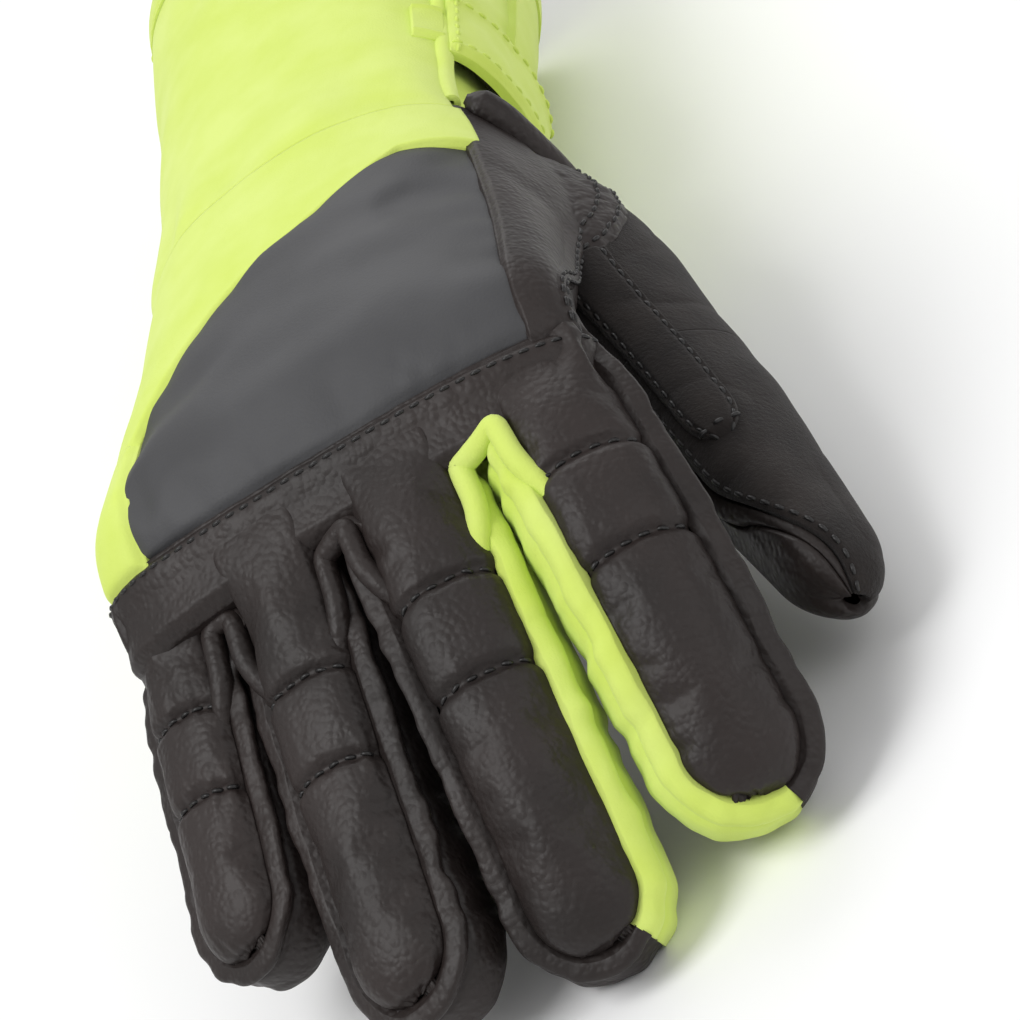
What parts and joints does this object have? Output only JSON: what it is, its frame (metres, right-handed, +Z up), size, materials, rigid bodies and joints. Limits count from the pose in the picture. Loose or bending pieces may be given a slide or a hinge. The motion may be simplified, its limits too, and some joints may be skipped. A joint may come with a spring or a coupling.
{
  "type": "padded winter glove",
  "caption": "Padded leather work glove for the right hand, with quilted finger backs, suede thumb, yellow softshell cuff and fourchettes, and a grey reflective back panel.",
  "frame": {"origin": "on the ground under the middle of the cuff's open end, on the flat of the hem that the glove rests on", "axes": "+Z up, +X towards the thumb side, -Y the way the fingers point, so the cuff opens towards +Y"},
  "size_m": [0.1432, 0.3126, 0.0851],
  "materials": {
    "grain_leather": "satin, fine pebbled grain",
    "suede": "matte nap",
    "yellow_softshell": "matte, high-visibility yellow",
    "reflective_fabric": "smooth matte charcoal, retroreflective",
    "fleece": "brushed",
    "hook_and_loop": "napped"
  },
  "bodies": {
    "hand": {"back_reflective_panel": "reflective_fabric", "back_wrist_softshell": "yellow_softshell", "back_side_panel": "yellow_softshell", "back_thumb_leather": "grain_leather", "thumb_side_front": "grain_leather", "thumb_side_rear": "grain_leather", "palm_leather": "grain_leather", "palm_heel_pad": "suede", "hand_lining": "fleece", "knuckle_flex": "grain_leather", "thumb_root": "suede", "wrist_gather": "yellow_softshell"},
    "knuckles": {"knuckle_leather": "grain_leather", "palm_front_leather": "grain_leather", "forchette_index_middle": "yellow_softshell", "forchette_middle_ring": "grain_leather", "forchette_ring_little": "grain_leather", "index_outer_wall": "grain_leather", "little_outer_wall": "grain_leather", "index_flex_pad": "grain_leather", "middle_flex_pad": "grain_leather", "ring_flex_pad": "grain_leather", "little_flex_pad": "grain_leather"},
    "index_finger": {"index_back_tip": "grain_leather", "index_palm_tip": "grain_leather", "index_wall_little_side": "yellow_softshell", "index_wall_thumb_side": "grain_leather", "index_lining": "fleece"},
    "middle_finger": {"middle_back_tip": "grain_leather", "middle_palm_tip": "grain_leather", "middle_wall_little_side": "grain_leather", "middle_wall_thumb_side": "yellow_softshell", "middle_lining": "fleece"},
    "ring_finger": {"ring_back_tip": "grain_leather", "ring_palm_tip": "grain_leather", "ring_wall": "grain_leather", "ring_lining": "fleece"},
    "little_finger": {"little_back_tip": "grain_leather", "little_palm_tip": "grain_leather", "little_wall": "grain_leather", "little_lining": "fleece"},
    "thumb": {"thumb_suede": "suede", "thumb_palm": "grain_leather", "thumb_wear_patch": "suede", "thumb_flex": "suede"},
    "thumb_tip": {"thumb_back_tip": "suede", "thumb_palm_tip": "grain_leather", "thumb_wall": "grain_leather"},
    "cuff": {"cuff_back": "yellow_softshell", "cuff_gusset": "yellow_softshell", "cuff_palm": "yellow_softshell", "cuff_hem": "yellow_softshell", "cuff_lining": "fleece", "hook_patch": "hook_and_loop", "wrist_strap_base": "yellow_softshell", "pull_tab": "yellow_softshell"},
    "wrist_strap": {"wrist_strap_end": "yellow_softshell", "loop_patch": "hook_and_loop", "strap_pull_tab": "yellow_softshell"}
  },
  "joints": [
    {"name": "knuckle_flex", "type": "hinge", "parent": "hand", "child": "knuckles", "pos_m": [0, -0.19846, 0.067], "axis": [0.9818, -0.1035, -0.1594], "range_deg": [-8, 20], "stiffness_Nm_per_rad": 4, "deforming": ["knuckle_flex"]},
    {"name": "index_flex", "type": "hinge", "parent": "knuckles", "child": "index_finger", "pos_m": [0.04332, -0.24077, 0.04861], "axis": [0.9785, 0.0829, -0.1889], "range_deg": [-15, 50], "stiffness_Nm_per_rad": 1.5, "deforming": ["index_flex_pad"]},
    {"name": "middle_flex", "type": "hinge", "parent": "knuckles", "child": "middle_finger", "pos_m": [0.0115, -0.24799, 0.04622], "axis": [0.9848, -0.0272, -0.1715], "range_deg": [-15, 55], "stiffness_Nm_per_rad": 1.5, "deforming": ["middle_flex_pad"]},
    {"name": "ring_flex", "type": "hinge", "parent": "knuckles", "child": "ring_finger", "pos_m": [-0.01804, -0.24472, 0.04285], "axis": [0.9752, -0.1625, -0.1501], "range_deg": [-15, 55], "stiffness_Nm_per_rad": 1.5, "deforming": ["ring_flex_pad"]},
    {"name": "little_flex", "type": "hinge", "parent": "knuckles", "child": "little_finger", "pos_m": [-0.04414, -0.23138, 0.04196], "axis": [0.9633, -0.2294, -0.1395], "range_deg": [-15, 50], "stiffness_Nm_per_rad": 1.5, "deforming": ["little_flex_pad"]},
    {"name": "thumb_spread", "type": "hinge", "parent": "hand", "child": "thumb", "pos_m": [0.05354, -0.18458, 0.0316], "axis": [0, 0.1564, 0.9877], "range_deg": [-6, 25], "stiffness_Nm_per_rad": 1.5, "deforming": ["thumb_root"]},
    {"name": "thumb_tip_extend", "type": "hinge", "parent": "thumb", "child": "thumb_tip", "pos_m": [0.06367, -0.21962, 0.02096], "axis": [-0.5206, -0.3825, 0.7633], "range_deg": [-35, 10], "stiffness_Nm_per_rad": 0.8, "deforming": ["thumb_flex"]},
    {"name": "wrist_bend", "type": "hinge", "parent": "hand", "child": "cuff", "pos_m": [0.001, -0.10723, 0.0485], "axis": [1, 0, 0], "range_deg": [-20, 20], "stiffness_Nm_per_rad": 5, "deforming": ["wrist_gather"]},
    {"name": "strap_peel", "type": "hinge", "parent": "cuff", "child": "wrist_strap", "pos_m": [0.03644, -0.08045, 0.02584], "axis": [0, 0.9877, -0.1564], "range_deg": [0, 90]}
  ]
}
